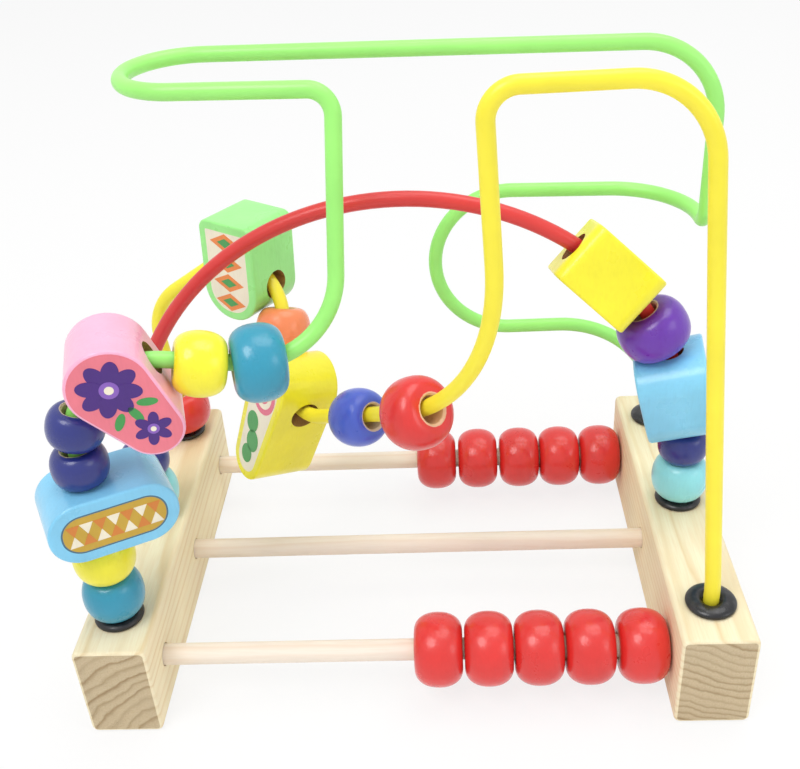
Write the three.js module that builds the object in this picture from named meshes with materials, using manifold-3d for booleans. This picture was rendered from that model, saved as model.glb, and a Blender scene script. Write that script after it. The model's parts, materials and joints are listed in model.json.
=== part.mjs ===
// A wooden bead maze: two pine rails joined by three dowels, an abacus row of red beads on the
// front and the back dowel, and three bent, plastic-coated wires that carry wooden beads and blocks.
// Millimetres, +Z up. The front of the toy faces -Y and the origin is the middle of its footprint.
import * as THREE from 'three';
import { mergeVertices } from 'three/addons/utils/BufferGeometryUtils.js';
import Module from 'manifold-3d';

const wasm = await Module();
wasm.setup();

// Gap kept between pieces that touch.
const FIT = 0.3;

// Rails and dowels.
const RAIL_WIDTH = 20;
const RAIL_HEIGHT = 30;
const RAIL_LENGTH = 118;
const RAIL_CORNER = 1.8;
const RAIL_BEVEL = 0.8;
const RAIL_SPAN = 140;
const ROW_PITCH = 45;
const DOWEL_DIAMETER = 6;
const DOWEL_HEIGHT = 15;
const SOCKET_DEPTH = 10;

// Grommets that close the wire holes in the top of the rails.
const FLANGE_DIAMETER = 13.5;
const FLANGE_HEIGHT = 2;
const FLANGE_RIM = 0.8;
const BARREL_DIAMETER = 8.6;
const BARREL_LENGTH = 8;

// Wires. A bend is drawn in straight steps that stay this close to its true circle.
const WIRE_DIAMETER = 4.2;
const WIRE_SIDES = 8;
const BEND_ERROR = 0.14;

// Facets round a bore. Their flats lie on the bore's own radius.
const BORE_SIDES = 12;

// Turned beads: outer diameter, length along the wire, bore and the flat round the bore.
const ABACUS_BEAD = { diameter: 20.5, length: 13.4, bore: 7, flat: 1.6, fullness: 2.2 };
const BALL = { diameter: 16.5, length: 12.8, bore: 7, flat: 0.8, fullness: 2.1 };
const SMALL_BALL = { diameter: 14.5, length: 9.8, bore: 7, flat: 0.8, fullness: 2.1 };
const DRUM = { diameter: 19.8, length: 13.2, bore: 7.6, flat: 1.2, fullness: 2.3 };

// Sawn blocks: outline size across the wire and along it, thickness and bore. The middle of an
// outline may lie off the bore, and a tapered outline has a smaller tip, which leans by this many
// degrees towards the far end of the wire.
const BLOCK_THICKNESS = 19.5;
const BLOCK_BEVEL = 0.7;
const BLOCK_BORE = 8.8;
const BLOCK_REACH = 1.12;
const OBLONG = { wide: 33, tall: 17.5, offset: 4 };
const PEAR = { wide: 33, tall: 20.5, tip: 15, offset: 3.5, lean: 11 };
const DROP = { wide: 43, tall: 19.5, tip: 15, offset: 10, lean: 195 };
const SHIELD = { wide: 31, tall: 20, corner: 3, offset: 3, lean: 12, flatEnd: true };
const BRICK = { wide: 18, tall: 24.5, corner: 3.5, thickness: 17.5, lean: 10 };
const PILLOW = { wide: 24, tall: 25.5, corner: 8 };

// Abacus rows: wire-free dowel left between neighbouring beads, counted from the right rail.
const FRONT_GAPS = [0.4, 1.0, 0.5, 0.4, 0.5];
const BACK_GAPS = [0.4, 0.5, 0.4, 0.9, 0.9];

// Red wire: a half-circle arch over the middle row. The legs are straight up to this height.
const ARCH_SPRING = 50;

// Green wire, from the left front leg to the right back leg.
const GREEN_SHOULDER = { z: 113, radius: 20 };
const GREEN_VALLEY = { x: -15.5, y: -28, z: 97, radius: 21 };
const GREEN_CREST = { x: -12, y: -14, z: 163, radius: 6 };
const GREEN_HAIRPIN = { x: -66.5, front: -9, back: 25, z: 163 };
const GREEN_DROP = { x: 84, y: 17, top: 162, radius: 20 };
const GREEN_TURN = { z: 112, footRadius: 5, radius: 22.5 };
const GREEN_LOOP = { x: 9, top: 114, bottom: 67 };
const GREEN_FOOT_RADIUS = 32;

// Yellow wire, from the right front leg to the left back leg.
const YELLOW_LEAN = { z: 36, radius: 60 };
const YELLOW_SHOULDER = { x: 70, y: -36, z: 168.5, radius: 20 };
const YELLOW_CORNER = { x: 21.5, y: -42, z: 170, radius: 7 };
const YELLOW_SWEEP = { x: 25, y: -42, z: 92, radius: 55 };
const YELLOW_VALLEY = { x: -43, y: 14, z: 54.5, radius: 18 };
const YELLOW_HUMP = { x: -30, y: 36, z: 115, radius: 18.5 };
const YELLOW_OUTER = { x: -83.5, z: 79, radius: 20 };
const YELLOW_FOOT = { z: 40, radius: 40 };

// Share of its free play that a bored piece drops on its wire.
const HANG = 0.7;

// Radius of the rim on which neighbours meet in a bend.
const STACK_RIM = 6.5;

// Bare wire left before a bead, where it lies free of its neighbour.
const GREEN_BALL_GAP = 4.4;
const GREEN_DRUM_GAP = 1.3;
const YELLOW_DRUM_SHIFT = -7.5;
const YELLOW_BALL_GAP = 11;
const ORANGE_BALL_GAP = 7.3;
const PEAR_SHIFT = 6;
const SHIELD_SHIFT = 4;
const BRICK_GAP = 1.2;

// Finishes.
const PINE = { color: 0xead9ae, roughness: 0.75 };
const BEECH = { color: 0xf0e0c6, roughness: 0.7 };
const RUBBER = { color: 0x232326, roughness: 0.55 };
const RED_COAT = { color: 0xdd3f3b, roughness: 0.35 };
const GREEN_COAT = { color: 0x9df076, roughness: 0.35 };
const YELLOW_COAT = { color: 0xfdee45, roughness: 0.35 };
const PAINT_ROUGHNESS = 0.4;
const PAINTS = {
  red: 0xdf302c,
  blue: 0x2f93bd,
  yellow: 0xfdf53c,
  skyBlue: 0x76c6ee,
  navy: 0x2c3580,
  indigo: 0x4a5cc6,
  pink: 0xfbbfd8,
  orange: 0xfa8f5f,
  violet: 0x6f36b4,
  paleCyan: 0x98e4ea,
  leafGreen: 0x92ee84,
};

const UP = new THREE.Vector3(0, 0, 1);
const LEG_X = (RAIL_SPAN + RAIL_WIDTH) / 2;
const LEG_START = RAIL_HEIGHT - BARREL_LENGTH;
const GROMMET_TOP = BARREL_LENGTH + FIT + FLANGE_HEIGHT;
const WIRE_HOLE = WIRE_DIAMETER + 2 * FIT;

const toy = new THREE.Group();

// A closed geometry as a solid that can be cut.
function toSolid(geometry) {
  const bare = geometry.clone();
  bare.deleteAttribute('normal');
  bare.deleteAttribute('uv');
  const merged = mergeVertices(bare, 1e-4);
  const vertProperties = new Float32Array(merged.attributes.position.array);
  const triVerts = new Uint32Array(merged.index.array);
  return new wasm.Manifold(new wasm.Mesh({ numProp: 3, vertProperties, triVerts }));
}

function toGeometry(solid) {
  const mesh = solid.getMesh();
  const geometry = new THREE.BufferGeometry();
  geometry.setAttribute('position', new THREE.BufferAttribute(mesh.vertProperties, 3));
  geometry.setIndex(new THREE.BufferAttribute(mesh.triVerts, 1));
  geometry.computeVertexNormals();
  return geometry;
}

function cut(geometry, cutters) {
  const body = cutters.reduce((solid, cutter) => solid.subtract(toSolid(cutter)), toSolid(geometry));
  return toGeometry(body);
}

function addPiece(name, geometry, finish) {
  const mesh = new THREE.Mesh(geometry, new THREE.MeshStandardMaterial({ metalness: 0, ...finish }));
  mesh.name = name;
  toy.add(mesh);
  return mesh;
}

function painted(color) {
  return { color, roughness: PAINT_ROUGHNESS };
}

function roundedRectangle(width, height, corner) {
  const x = width / 2;
  const y = height / 2;
  const shape = new THREE.Shape();
  shape.moveTo(-x + corner, -y);
  shape.absarc(x - corner, -y + corner, corner, -Math.PI / 2, 0);
  shape.absarc(x - corner, y - corner, corner, 0, Math.PI / 2);
  shape.absarc(-x + corner, y - corner, corner, Math.PI / 2, Math.PI);
  shape.absarc(-x + corner, -y + corner, corner, Math.PI, 1.5 * Math.PI);
  return shape;
}

// An outline with one large and one small round end, joined by the two lines that touch both.
function taperedOutline({ wide, tall, tip }) {
  const large = tall / 2;
  const small = tip / 2;
  const reach = wide - large - small;
  const start = large - wide / 2;
  const slope = Math.asin((large - small) / reach);
  const shape = new THREE.Shape();
  shape.absarc(start, 0, large, Math.PI / 2 - slope, 1.5 * Math.PI + slope);
  shape.absarc(start + reach, 0, small, slope - Math.PI / 2, Math.PI / 2 - slope);
  return shape;
}

// An outline with one round end and one flat end.
function shieldOutline({ wide, tall, corner }) {
  const radius = tall / 2;
  const edge = wide / 2 - corner;
  const shape = new THREE.Shape();
  shape.absarc(radius - wide / 2, 0, radius, Math.PI / 2, 1.5 * Math.PI);
  shape.absarc(edge, corner - radius, corner, -Math.PI / 2, 0);
  shape.absarc(edge, radius - corner, corner, 0, Math.PI / 2);
  return shape;
}

function blockOutline(block) {
  if (block.tip) {
    return taperedOutline(block);
  }
  if (block.flatEnd) {
    return shieldOutline(block);
  }
  return roundedRectangle(block.wide, block.tall, block.corner ?? block.tall / 2 - FIT);
}

// The route of a bent wire: straight stretches joined by circular bends at the given corners.
// Each corner is a point with the radius of its bend, and the two ends have none.
class BentWire extends THREE.Curve {
  constructor(corners) {
    super();
    this.stretches = [];
    this.bends = [];
    this.length = 0;
    this.layOut(corners);
    this.stations = this.pickStations();
  }

  layOut(corners) {
    const points = corners.map(({ x, y, z }) => new THREE.Vector3(x, y, z));
    const reaches = points.slice(1).map((point, i) => point.distanceTo(points[i]));
    const headings = points.slice(1).map((point, i) => point.clone().sub(points[i]).normalize());
    const inner = corners.slice(1, -1);
    const turns = inner.map((corner, i) => headings[i].angleTo(headings[i + 1]));
    const wanted = inner.map((corner, i) => corner.radius * Math.tan(turns[i] / 2));
    const crowding = reaches.map((reach, i) => reach / ((wanted[i - 1] ?? 0) + (wanted[i] ?? 0)));
    const trims = wanted.map((trim, i) => trim * Math.min(1, crowding[i], crowding[i + 1]));
    let from = points[0];
    trims.forEach((trim, i) => {
      const corner = points[i + 1];
      const start = corner.clone().addScaledVector(headings[i], -trim);
      this.addLine(from, start);
      this.addBend(start, headings[i], headings[i + 1], trim / Math.tan(turns[i] / 2), turns[i]);
      from = corner.clone().addScaledVector(headings[i + 1], trim);
    });
    this.addLine(from, points.at(-1));
  }

  addLine(from, to) {
    const length = from.distanceTo(to);
    const heading = to.clone().sub(from).normalize();
    if (length > FIT) {
      this.stretches.push({ from, heading, length, start: this.length, steps: 1 });
      this.length += length;
    }
  }

  addBend(from, heading, next, radius, angle) {
    const axis = heading.clone().cross(next).normalize();
    const inward = axis.clone().cross(heading);
    const centre = from.clone().addScaledVector(inward, radius);
    const length = radius * angle;
    const steps = Math.ceil(angle / (2 * Math.acos(1 - BEND_ERROR / radius)));
    const bend = { from, heading, length, start: this.length, steps, axis, centre, radius };
    bend.middle = this.length + length / 2;
    bend.end = this.length + length;
    this.stretches.push(bend);
    this.bends.push(bend);
    this.length += length;
  }

  pickStations() {
    const starts = this.stretches.flatMap(({ start, length, steps }) =>
      Array.from({ length: steps }, (_, i) => start + (length * i) / steps));
    return [...starts, this.length];
  }

  // Point, direction and bend at a distance along the wire.
  at(distance) {
    const last = this.stretches.length - 1;
    const found = this.stretches.findIndex(({ start, length }) => distance < start + length);
    const stretch = this.stretches[found < 0 ? last : found];
    const along = distance - stretch.start;
    if (!stretch.axis) {
      const point = stretch.from.clone().addScaledVector(stretch.heading, along);
      return { point, heading: stretch.heading.clone() };
    }
    const { axis, centre, radius } = stretch;
    const arm = stretch.from.clone().sub(centre).applyAxisAngle(axis, along / radius);
    const heading = stretch.heading.clone().applyAxisAngle(axis, along / radius);
    const inward = arm.clone().negate().normalize();
    return { point: centre.clone().add(arm), heading, inward, bend: stretch };
  }

  distanceAt(share) {
    const place = share * (this.stations.length - 1);
    const index = Math.min(Math.floor(place), this.stations.length - 2);
    return THREE.MathUtils.lerp(this.stations[index], this.stations[index + 1], place - index);
  }

  getPoint(share) {
    return this.at(this.distanceAt(share)).point;
  }

  getPointAt(share) {
    return this.getPoint(share);
  }

  getTangent(share) {
    return this.at(this.distanceAt(share)).heading;
  }

  getTangentAt(share) {
    return this.getTangent(share);
  }
}

function addWire(name, route, finish) {
  const radius = WIRE_DIAMETER / 2;
  const section = new THREE.Shape(Array.from({ length: WIRE_SIDES }, (_, i) => {
    const angle = (2 * Math.PI * i) / WIRE_SIDES;
    return new THREE.Vector2(radius * Math.cos(angle), radius * Math.sin(angle));
  }));
  const steps = route.stations.length - 1;
  addPiece(name, new THREE.ExtrudeGeometry(section, { steps, extrudePath: route }), finish);
}

// One pine rail with its blind holes for the dowels and the grommets. Side is -1 left, +1 right.
function addRail(name, side) {
  const profile = roundedRectangle(RAIL_WIDTH, RAIL_HEIGHT, RAIL_CORNER);
  const block = new THREE.ExtrudeGeometry(profile, {
    depth: RAIL_LENGTH - 2 * RAIL_BEVEL,
    bevelSize: RAIL_BEVEL,
    bevelThickness: RAIL_BEVEL,
    bevelOffset: -RAIL_BEVEL,
    bevelSegments: 2,
    curveSegments: 3,
  });
  block.rotateX(Math.PI / 2);
  block.translate(side * LEG_X, RAIL_LENGTH / 2 - RAIL_BEVEL, RAIL_HEIGHT / 2);
  const socketRadius = (DOWEL_DIAMETER / 2 + FIT) / Math.cos(Math.PI / BORE_SIDES);
  const holeRadius = (BARREL_DIAMETER / 2 + FIT) / Math.cos(Math.PI / BORE_SIDES);
  const holeDepth = BARREL_LENGTH + FIT;
  const cutters = [-1, 0, 1].flatMap((row) => {
    const socket = new THREE.CylinderGeometry(socketRadius, socketRadius, 2 * SOCKET_DEPTH, BORE_SIDES);
    socket.rotateZ(Math.PI / 2);
    socket.translate((side * RAIL_SPAN) / 2, row * ROW_PITCH, DOWEL_HEIGHT);
    const hole = new THREE.CylinderGeometry(holeRadius, holeRadius, 2 * holeDepth, BORE_SIDES);
    hole.rotateX(Math.PI / 2);
    hole.translate(side * LEG_X, row * ROW_PITCH, RAIL_HEIGHT);
    return [socket, hole];
  });
  addPiece(name, cut(block, cutters), PINE);
}

function addDowel(name, row) {
  const length = RAIL_SPAN + 2 * (SOCKET_DEPTH - FIT);
  const rod = new THREE.CylinderGeometry(DOWEL_DIAMETER / 2, DOWEL_DIAMETER / 2, length, BORE_SIDES);
  const dowel = addPiece(name, rod, BEECH);
  dowel.rotation.z = Math.PI / 2;
  dowel.position.set(0, row * ROW_PITCH, DOWEL_HEIGHT);
}

// A flanged bush pressed into the rail round the foot of a wire.
function addGrommet(name, side, row) {
  const inner = WIRE_HOLE / 2 / Math.cos(Math.PI / BORE_SIDES);
  const barrel = BARREL_DIAMETER / 2;
  const flange = FLANGE_DIAMETER / 2;
  const top = FIT + FLANGE_HEIGHT;
  const middle = (inner + flange) / 2;
  const profile = [
    [inner, -BARREL_LENGTH],
    [barrel, -BARREL_LENGTH],
    [barrel, FIT],
    [flange, FIT],
    [flange, FIT + FLANGE_RIM],
    [(flange + middle) / 2, (FIT + FLANGE_RIM + 2 * top) / 3],
    [middle, top],
    [inner, top],
    [inner, -BARREL_LENGTH],
  ].map(([x, y]) => new THREE.Vector2(x, y));
  const grommet = addPiece(name, new THREE.LatheGeometry(profile, BORE_SIDES), RUBBER);
  grommet.rotation.x = Math.PI / 2;
  grommet.position.set(side * LEG_X, row * ROW_PITCH, RAIL_HEIGHT);
}

// A turned bead about its own Y axis: a bulging side between two flats, and a straight bore.
function beadGeometry({ diameter, length, bore, flat, fullness }) {
  const inner = bore / 2 / Math.cos(Math.PI / BORE_SIDES);
  const shoulder = inner + flat;
  const bulge = diameter / 2 - shoulder;
  const half = length / 2;
  const steps = 6;
  const power = 2 / fullness;
  const side = Array.from({ length: steps + 1 }, (_, i) => {
    const angle = Math.PI * (i / steps - 0.5);
    const rise = Math.sign(angle) * Math.abs(Math.sin(angle)) ** power;
    return new THREE.Vector2(shoulder + bulge * Math.cos(angle) ** power, half * rise);
  });
  const foot = new THREE.Vector2(inner, -half);
  const head = new THREE.Vector2(inner, half);
  return new THREE.LatheGeometry([foot, ...side, head, foot.clone()], BORE_SIDES);
}

// A sawn block with its outline in the local XY plane and its bore along the local Y axis.
function blockGeometry(block) {
  const thickness = block.thickness ?? BLOCK_THICKNESS;
  const body = new THREE.ExtrudeGeometry(blockOutline(block), {
    depth: thickness - 2 * BLOCK_BEVEL,
    bevelSize: BLOCK_BEVEL,
    bevelThickness: BLOCK_BEVEL,
    bevelOffset: -BLOCK_BEVEL,
    bevelSegments: 1,
    curveSegments: 7,
  });
  body.translate(block.offset ?? 0, 0, BLOCK_BEVEL - thickness / 2);
  body.rotateZ(THREE.MathUtils.degToRad(block.lean ?? 0));
  const radius = BLOCK_BORE / 2 / Math.cos(Math.PI / BORE_SIDES);
  return cut(body, [new THREE.CylinderGeometry(radius, radius, 2 * block.wide, BORE_SIDES)]);
}

// Where a bored piece hangs on a wire. Its bore lines up with the stretch of wire inside it, and it
// drops by most of its play, so that a gap of FIT or more stays round the wire.
function seatOnWire(route, distance, length, bore) {
  const { point, bend } = route.at(distance);
  const places = Array.from({ length: 9 }, (_, i) => distance + length * (i / 8 - 0.5));
  const inside = places.map((place) => route.at(place).point);
  const heading = inside.at(-1).clone().sub(inside[0]).normalize();
  const strays = inside.map((spot) => spot.sub(point).projectOnPlane(heading));
  const middle = new THREE.Box3().setFromPoints(strays).getCenter(new THREE.Vector3());
  const slack = (bore - WIRE_DIAMETER) / 2 - FIT;
  const down = UP.clone().negate().projectOnPlane(heading);
  const drops = Array.from({ length: 40 }, (_, i) => (slack * i) / 20);
  const clear = drops.filter((drop) => {
    const seat = middle.clone().addScaledVector(down, drop);
    return strays.every((stray) => stray.distanceTo(seat) <= slack);
  });
  const drop = HANG * Math.max(0, ...clear);
  return { point: point.clone().add(middle).addScaledVector(down, drop), heading, bend };
}

function threadBead(name, bead, color, route, distance) {
  const { point, heading, bend } = seatOnWire(route, distance, bead.length, bead.bore);
  const mesh = addPiece(name, beadGeometry(bead), painted(color));
  mesh.position.copy(point);
  mesh.quaternion.setFromUnitVectors(new THREE.Vector3(0, 1, 0), heading);
  mesh.userData.bend = bend;
}

// A block turns about the wire until its printed face looks along the given direction.
function threadBlock(name, block, color, route, distance, facing) {
  const { point, heading, bend } = seatOnWire(route, distance, BLOCK_REACH * block.tall, BLOCK_BORE);
  const mesh = addPiece(name, blockGeometry(block), painted(color));
  const face = new THREE.Vector3(...facing).projectOnPlane(heading).normalize();
  const across = heading.clone().cross(face);
  mesh.position.copy(point);
  mesh.quaternion.setFromRotationMatrix(new THREE.Matrix4().makeBasis(across, heading, face));
  mesh.userData.bend = bend;
}

// Red beads on one dowel, pushed together against the right rail. They hang on the dowel.
function addAbacusRow(name, row, gaps) {
  const drop = (ABACUS_BEAD.bore - DOWEL_DIAMETER) / 2 - FIT;
  let x = RAIL_SPAN / 2;
  gaps.forEach((gap, i) => {
    x -= gap + ABACUS_BEAD.length / 2;
    const bead = addPiece(`${name}_abacus_bead_${i + 1}`, beadGeometry(ABACUS_BEAD), painted(PAINTS.red));
    bead.rotation.z = Math.PI / 2;
    bead.position.set(x, row * ROW_PITCH, DOWEL_HEIGHT - drop);
    x -= ABACUS_BEAD.length / 2;
  });
}

function leg(side, row) {
  return { x: side * LEG_X, y: row * ROW_PITCH, z: LEG_START };
}

// Base.
addRail('left_rail', -1);
addRail('right_rail', 1);
const ROWS = [['front', -1], ['middle', 0], ['back', 1]];
for (const [rowName, row] of ROWS) {
  addDowel(`${rowName}_dowel`, row);
  addGrommet(`left_${rowName}_grommet`, -1, row);
  addGrommet(`right_${rowName}_grommet`, 1, row);
}
addAbacusRow('front', -1, FRONT_GAPS);
addAbacusRow('back', 1, BACK_GAPS);

// Red wire with the beads on its right and left legs.
const archTop = ARCH_SPRING + LEG_X;
const redRoute = new BentWire([
  leg(1, 0),
  { x: LEG_X, y: 0, z: archTop, radius: LEG_X },
  { x: -LEG_X, y: 0, z: archTop, radius: LEG_X },
  leg(-1, 0),
]);
addWire('red_wire', redRoute, RED_COAT);

// Stacked pieces lie end to end along a wire, from a grommet up. Where the wire bends, the ends of
// two neighbours meet at the rim of their bores, so they need a little more room.
function stack(lengths, headingAt) {
  let distance = GROMMET_TOP;
  let heading = headingAt(distance);
  return lengths.map((length) => {
    const next = headingAt(distance + FIT + length / 2);
    distance += FIT + STACK_RIM * Math.tan(heading.angleTo(next)) + length;
    heading = next;
    return distance - length / 2;
  });
}

function headingFromStart(route) {
  return (distance) => route.at(distance).heading;
}

function headingFromEnd(route) {
  return (distance) => route.at(route.length - distance).heading.negate();
}

const rightStack = stack(
  [BALL.length, SMALL_BALL.length, PILLOW.tall, DRUM.length, BRICK.tall], headingFromStart(redRoute));
threadBead('right_cyan_ball', BALL, PAINTS.paleCyan, redRoute, rightStack[0]);
threadBead('right_navy_ball', SMALL_BALL, PAINTS.navy, redRoute, rightStack[1]);
threadBlock('sky_blue_pillow_block', PILLOW, PAINTS.skyBlue, redRoute, rightStack[2], [-0.98, 0.12, 0]);
threadBead('violet_bead', DRUM, PAINTS.violet, redRoute, rightStack[3]);
threadBlock('yellow_brick_block', BRICK, PAINTS.yellow, redRoute, rightStack[4] + BRICK_GAP, [-0.675, -0.235, -0.699]);
const leftStack = stack([BALL.length, SMALL_BALL.length], headingFromEnd(redRoute))
  .map((distance) => redRoute.length - distance);
threadBead('left_cyan_ball', BALL, PAINTS.paleCyan, redRoute, leftStack[0]);
threadBead('left_navy_ball', SMALL_BALL, PAINTS.navy, redRoute, leftStack[1]);

// Green wire: up the left front leg, over a shoulder and through a valley to a hairpin above the
// toy, then down on the right and through a loop behind the arch.
const greenRoute = new BentWire([
  leg(-1, -1),
  { x: -LEG_X, y: -ROW_PITCH, ...GREEN_SHOULDER },
  GREEN_VALLEY,
  GREEN_CREST,
  { ...GREEN_HAIRPIN, y: GREEN_HAIRPIN.front, radius: (GREEN_HAIRPIN.back - GREEN_HAIRPIN.front) / 2 },
  { ...GREEN_HAIRPIN, y: GREEN_HAIRPIN.back, radius: (GREEN_HAIRPIN.back - GREEN_HAIRPIN.front) / 2 },
  { ...GREEN_DROP, z: GREEN_DROP.top },
  { x: GREEN_DROP.x, y: GREEN_DROP.y, z: GREEN_TURN.z, radius: GREEN_TURN.footRadius },
  { x: GREEN_DROP.x, y: ROW_PITCH, z: GREEN_TURN.z, radius: GREEN_TURN.radius },
  { x: GREEN_LOOP.x, y: ROW_PITCH, z: GREEN_LOOP.top, radius: (GREEN_LOOP.top - GREEN_LOOP.bottom) / 2 },
  { x: GREEN_LOOP.x, y: ROW_PITCH, z: GREEN_LOOP.bottom, radius: (GREEN_LOOP.top - GREEN_LOOP.bottom) / 2 },
  { x: LEG_X, y: ROW_PITCH, z: GREEN_LOOP.bottom, radius: GREEN_FOOT_RADIUS },
  leg(1, 1),
]);
addWire('green_wire', greenRoute, GREEN_COAT);

const frontStack = stack(
  [BALL.length, BALL.length, OBLONG.tall, SMALL_BALL.length, SMALL_BALL.length],
  headingFromStart(greenRoute));
threadBead('front_blue_ball', BALL, PAINTS.blue, greenRoute, frontStack[0]);
threadBead('front_yellow_ball', BALL, PAINTS.yellow, greenRoute, frontStack[1]);
threadBlock('sky_blue_oblong_block', OBLONG, PAINTS.skyBlue, greenRoute, frontStack[2], [0.463, -0.886, 0]);
threadBead('front_lower_navy_ball', SMALL_BALL, PAINTS.navy, greenRoute, frontStack[3]);
threadBead('front_upper_navy_ball', SMALL_BALL, PAINTS.navy, greenRoute, frontStack[4]);
const pearPlace = greenRoute.bends[0].middle + PEAR_SHIFT;
const greenBallPlace = pearPlace + (PEAR.tall + BALL.length) / 2 + GREEN_BALL_GAP;
const greenDrumPlace = greenBallPlace + (BALL.length + DRUM.length) / 2 + GREEN_DRUM_GAP;
threadBlock('pink_pear_block', PEAR, PAINTS.pink, greenRoute, pearPlace, [-0.11, -0.98, -0.16]);
threadBead('valley_yellow_ball', BALL, PAINTS.yellow, greenRoute, greenBallPlace);
threadBead('valley_blue_bead', DRUM, PAINTS.blue, greenRoute, greenDrumPlace);

// Yellow wire: up the right front leg, down through the middle of the toy, over a hump at the back
// and down the left back leg.
const yellowRoute = new BentWire([
  leg(1, -1),
  { x: LEG_X, y: -ROW_PITCH, ...YELLOW_LEAN },
  YELLOW_SHOULDER,
  YELLOW_CORNER,
  YELLOW_SWEEP,
  YELLOW_VALLEY,
  YELLOW_HUMP,
  { y: ROW_PITCH, ...YELLOW_OUTER },
  { x: -LEG_X, y: ROW_PITCH, ...YELLOW_FOOT },
  leg(-1, 1),
]);
addWire('yellow_wire', yellowRoute, YELLOW_COAT);

const [, , , sweep, valley, hump] = yellowRoute.bends;
const redBeadPlace = sweep.end + YELLOW_DRUM_SHIFT;
const indigoBallPlace = redBeadPlace + (DRUM.length + BALL.length) / 2 + YELLOW_BALL_GAP;
const shieldPlace = hump.middle + SHIELD_SHIFT;
const orangeBallPlace = shieldPlace - (SHIELD.tall + BALL.length) / 2 - ORANGE_BALL_GAP;
threadBead('sweep_red_bead', DRUM, PAINTS.red, yellowRoute, redBeadPlace);
threadBead('sweep_indigo_ball', BALL, PAINTS.indigo, yellowRoute, indigoBallPlace);
threadBlock('yellow_drop_block', DROP, PAINTS.yellow, yellowRoute, valley.middle, [-0.765, -0.59, 0.26]);
threadBead('hump_orange_ball', BALL, PAINTS.orange, yellowRoute, orangeBallPlace);
threadBlock('green_shield_block', SHIELD, PAINTS.leafGreen, yellowRoute, shieldPlace, [-0.75, -0.65, 0.1]);
const backRedPlace = yellowRoute.length - stack([DRUM.length], headingFromEnd(yellowRoute))[0];
threadBead('back_red_bead', DRUM, PAINTS.red, yellowRoute, backRedPlace);

// The footprint's middle becomes the origin.
const box = new THREE.Box3().setFromObject(toy, true);
const centre = box.getCenter(new THREE.Vector3());
toy.position.set(-centre.x, -centre.y, -box.min.z);

export default toy;
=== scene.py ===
# %% [markdown]
# # A wooden bead maze
#
# The toy joins a small abacus to a tangle of bent wires: two pine rails, three dowels, three coated
# wires, and thirty-one painted beads and blocks that travel on them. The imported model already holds
# every piece at its true size and place. This lesson rebuilds each piece with rounder edges and
# finer curves, and gives it the finish of pine, beech, gloss paint, printed ink, coated wire or
# black plastic.

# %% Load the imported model
import json
import math

import bmesh
import bpy
from mathutils import Matrix, Vector


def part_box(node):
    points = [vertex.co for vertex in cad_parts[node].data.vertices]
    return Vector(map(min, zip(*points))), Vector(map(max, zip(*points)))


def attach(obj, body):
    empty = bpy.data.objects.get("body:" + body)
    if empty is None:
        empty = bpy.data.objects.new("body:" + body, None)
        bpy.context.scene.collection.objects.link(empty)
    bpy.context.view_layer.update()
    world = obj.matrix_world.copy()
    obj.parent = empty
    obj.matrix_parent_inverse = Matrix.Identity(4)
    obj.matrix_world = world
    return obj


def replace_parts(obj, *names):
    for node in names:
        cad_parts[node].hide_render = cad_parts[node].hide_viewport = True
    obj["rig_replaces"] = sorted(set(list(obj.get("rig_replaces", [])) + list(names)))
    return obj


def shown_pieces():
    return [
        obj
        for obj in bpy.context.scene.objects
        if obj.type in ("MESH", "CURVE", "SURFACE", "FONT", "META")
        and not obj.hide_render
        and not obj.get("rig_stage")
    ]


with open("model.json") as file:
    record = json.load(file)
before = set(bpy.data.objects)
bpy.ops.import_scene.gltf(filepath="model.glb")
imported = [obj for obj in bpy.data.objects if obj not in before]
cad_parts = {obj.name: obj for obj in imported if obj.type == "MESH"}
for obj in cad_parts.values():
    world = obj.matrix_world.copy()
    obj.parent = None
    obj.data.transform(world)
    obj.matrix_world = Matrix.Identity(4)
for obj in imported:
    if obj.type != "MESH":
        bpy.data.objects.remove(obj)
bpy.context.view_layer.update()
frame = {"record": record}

MM = 0.001


def in_mm(values, digits):
    return [round(value / MM, digits) for value in values]


scene = bpy.context.scene
scene.view_settings.view_transform = "Standard"
BODY_OF = {
    node: body
    for body, nodes in frame["record"]["behaviour"]["bodies"].items()
    for node in nodes
}

# %% [markdown]
# The maker's sizes are in millimetres, measured from the middle of the two rails. Blender works in
# metres from the middle of the footprint. One matrix takes the first to the second, so every size
# below can be written as a maker would read it off a rule.

# %% The maker's frame
left_low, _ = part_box("left_rail")
_, right_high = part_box("right_rail")
rails_middle = (left_low + right_high) / 2
SITE = Matrix.Translation((rails_middle.x, rails_middle.y, 0)) @ Matrix.Scale(MM, 4)
print("Middle of the rails in mm:", in_mm(rails_middle, 3))

# %% [markdown]
# ## Camera
#
# The toy is seen from the front, a little above it and close to it. A camera can be aimed with a
# tracking constraint, but a constraint can't hold the slight tilt of a hand-held shot. Here the
# camera's own right and up directions are given, and its rotation is built from them.

# %% Camera
CAMERA_PLACE = Vector((13.79, -253.3, 230.58))
CAMERA_RIGHT = Vector((0.9981, 0.0273, -0.0552)).normalized()
CAMERA_UP = Vector((0.0326, 0.5272, 0.8491)).normalized()
LENS_MM = 47.04
SENSOR_MM = 36
NEAR_CLIP = 0.01

lens = bpy.data.cameras.new("lens")
lens.lens = LENS_MM
lens.sensor_width = SENSOR_MM
lens.clip_start = NEAR_CLIP
camera = bpy.data.objects.new("camera", lens)
scene.collection.objects.link(camera)
aim = Matrix((CAMERA_RIGHT, CAMERA_UP, CAMERA_RIGHT.cross(CAMERA_UP))).transposed()
camera.matrix_world = Matrix.Translation(SITE @ CAMERA_PLACE) @ aim.to_4x4()
scene.camera = camera
print("Camera at", [round(value, 3) for value in camera.location])

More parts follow.
